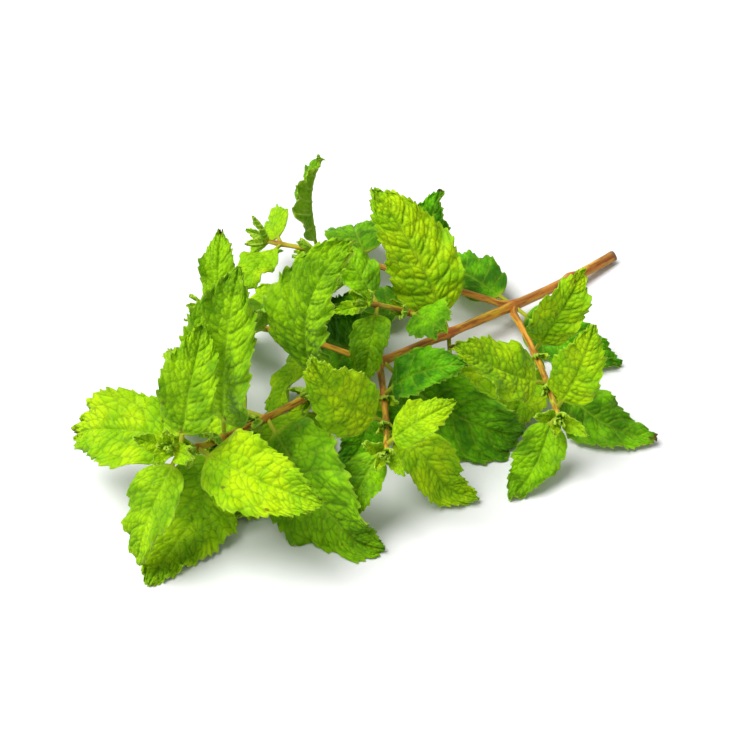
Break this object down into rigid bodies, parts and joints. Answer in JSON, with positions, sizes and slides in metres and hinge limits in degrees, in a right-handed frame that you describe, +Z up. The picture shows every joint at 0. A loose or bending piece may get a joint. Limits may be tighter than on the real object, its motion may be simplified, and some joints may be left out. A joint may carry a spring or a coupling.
{
  "type": "mint sprig",
  "caption": "Fresh mint sprig lying on a surface: square reddish stem with side shoots and opposite pairs of crinkled, toothed, bright green leaves",
  "frame": {"origin": "the middle of the footprint, on the surface that the sprig lies on", "axes": "+X runs along the main stem from the growing tip towards the cut end, +Y is to the left of that direction, +Z is up"},
  "size_m": [0.2101, 0.1514, 0.0754],
  "materials": {
    "main_stem": "smooth, slightly glossy plant stem, reddish brown to olive",
    "side_stem": "smooth, slightly glossy plant stem, olive to reddish",
    "leaf": "fresh matte leaf, quilted between sunken veins, with a soft sheen",
    "bud": "young folded leaflets, pale yellow green, downy matte"
  },
  "bodies": {
    "root": {"main_stem": "main_stem", "main_leaf_1a": "leaf", "main_leaf_1b": "leaf", "main_leaf_2a": "leaf", "main_leaf_2b": "leaf", "main_leaf_3a": "leaf", "main_leaf_3b": "leaf", "main_leaf_4a": "leaf", "main_leaf_4b": "leaf", "main_leaf_5a": "leaf", "main_leaf_5b": "leaf", "main_leaf_6a": "leaf", "main_leaf_6b": "leaf", "main_leaf_7a": "leaf", "main_leaf_7b": "leaf", "main_leaf_8a": "leaf", "main_leaf_8b": "leaf", "main_bud": "bud", "left_base_stem": "side_stem", "left_base_leaf_1a": "leaf", "left_base_leaf_1b": "leaf", "left_base_leaf_2a": "leaf", "left_base_leaf_2b": "leaf", "left_base_leaf_3a": "leaf", "left_base_leaf_3b": "leaf", "left_base_leaf_4a": "leaf", "left_base_leaf_4b": "leaf", "left_base_bud": "bud", "right_base_stem": "side_stem", "right_base_leaf_1a": "leaf", "right_base_leaf_1b": "leaf", "right_base_leaf_2a": "leaf", "right_base_leaf_2b": "leaf", "right_base_leaf_3a": "leaf", "right_base_leaf_3b": "leaf", "right_base_bud": "bud", "left_middle_stem": "side_stem", "left_middle_leaf_1a": "leaf", "left_middle_leaf_1b": "leaf", "left_middle_leaf_2a": "leaf", "left_middle_leaf_2b": "leaf", "left_middle_leaf_3a": "leaf", "left_middle_leaf_3b": "leaf", "left_middle_bud": "bud", "right_middle_stem": "side_stem", "right_middle_leaf_1a": "leaf", "right_middle_leaf_1b": "leaf", "right_middle_leaf_2a": "leaf", "right_middle_leaf_2b": "leaf", "right_middle_leaf_3a": "leaf", "right_middle_leaf_3b": "leaf", "right_middle_bud": "bud", "upper_stem": "side_stem", "upper_leaf_1a": "leaf", "upper_leaf_1b": "leaf", "upper_leaf_2a": "leaf", "upper_leaf_2b": "leaf", "upper_bud": "bud"}
  },
  "joints": []
}
